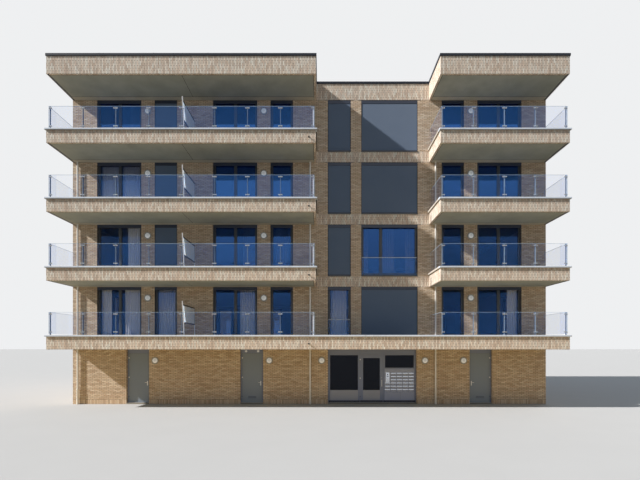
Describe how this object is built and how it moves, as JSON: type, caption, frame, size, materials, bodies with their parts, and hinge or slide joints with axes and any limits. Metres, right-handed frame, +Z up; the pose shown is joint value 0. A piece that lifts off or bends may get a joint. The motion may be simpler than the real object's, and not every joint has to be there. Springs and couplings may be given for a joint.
{
  "type": "apartment block",
  "caption": "Brick apartment block over a ground storey with service doors and a glazed entrance, and cantilevered balconies with glass balustrades on both wings.",
  "frame": {"origin": "on the ground, in the middle of the whole outline", "axes": "+X along the front to the right as seen from the street, +Y from the front into the building, +Z up"},
  "size_m": [22.92, 15.11, 15.54],
  "materials": {
    "brick": "buff facing brick",
    "concrete": "cast concrete",
    "pale_concrete": "smooth pale precast concrete",
    "roofing_felt": "mineral felt",
    "coping_metal": "folded sheet",
    "galvanised_steel": "dull zinc",
    "clear_glass": "polished",
    "frosted_glass": "satin etched",
    "dark_metal": "satin powder coat",
    "door_paint": "satin powder coat",
    "brushed_metal": "fine brushed",
    "opal_plastic": "opal white",
    "screen_cloth": "fine woven screen cloth"
  },
  "bodies": {
    "building": {"ground_floor": "concrete", "thresholds": "concrete", "floor_slabs": "concrete", "roof_slab": "concrete", "roofing": "roofing_felt", "front_wall_piers": "brick", "front_wall_bands": "brick", "rear_wall_piers": "brick", "rear_wall_bands": "brick", "side_wall_piers": "brick", "side_wall_bands": "brick", "coping_runs": "coping_metal", "coping_returns": "coping_metal", "balcony_slabs": "concrete", "balcony_decks": "pale_concrete", "fascia_fronts": "brick", "fascia_returns": "brick", "lip_fronts": "pale_concrete", "lip_returns": "pale_concrete", "balustrade_posts": "galvanised_steel", "balustrade_glass": "clear_glass", "glass_clamps": "galvanised_steel", "divider_rails": "dark_metal", "divider_uprights": "galvanised_steel", "divider_panels": "frosted_glass", "overflow_spouts": "galvanised_steel", "downpipes": "galvanised_steel", "wall_lamps": "opal_plastic", "window_sills": "dark_metal", "window_stiles": "dark_metal", "window_rails": "dark_metal", "window_panes": "clear_glass", "guard_glass": "clear_glass", "guard_caps": "galvanised_steel", "screen_cassettes": "dark_metal", "screen_guides": "dark_metal", "screen_bars": "dark_metal", "screen_cloths": "screen_cloth", "doorway_posts": "dark_metal", "doorway_rails": "dark_metal", "entrance_lights": "clear_glass", "mailbox_panel": "door_paint", "mailbox_flaps": "brushed_metal", "intercom": "brushed_metal", "door_vents": "opal_plastic", "frame_hinges": "brushed_metal"},
    "entrance_door": {"entrance_leaf": "dark_metal", "entrance_leaf_glass": "clear_glass", "entrance_fittings": "brushed_metal"},
    "left_door": {"left_door_leaf": "door_paint", "left_door_fittings": "brushed_metal"},
    "middle_door": {"middle_door_leaf": "door_paint", "middle_door_fittings": "brushed_metal"},
    "right_door": {"right_door_leaf": "door_paint", "right_door_fittings": "brushed_metal"}
  },
  "joints": [
    {"name": "entrance_door_hinge", "type": "hinge", "parent": "building", "child": "entrance_door", "pos_m": [2.4529, -5.345, 0.068], "axis": [0, 0, -1], "range_deg": [0, 90]},
    {"name": "left_door_hinge", "type": "hinge", "parent": "building", "child": "left_door", "pos_m": [-8.762, -5.345, 0.068], "axis": [0, 0, -1], "range_deg": [0, 90]},
    {"name": "middle_door_hinge", "type": "hinge", "parent": "building", "child": "middle_door", "pos_m": [-3.267, -5.345, 0.068], "axis": [0, 0, -1], "range_deg": [0, 90]},
    {"name": "right_door_hinge", "type": "hinge", "parent": "building", "child": "right_door", "pos_m": [8.762, -5.345, 0.068], "axis": [0, 0, 1], "range_deg": [0, 90]}
  ]
}
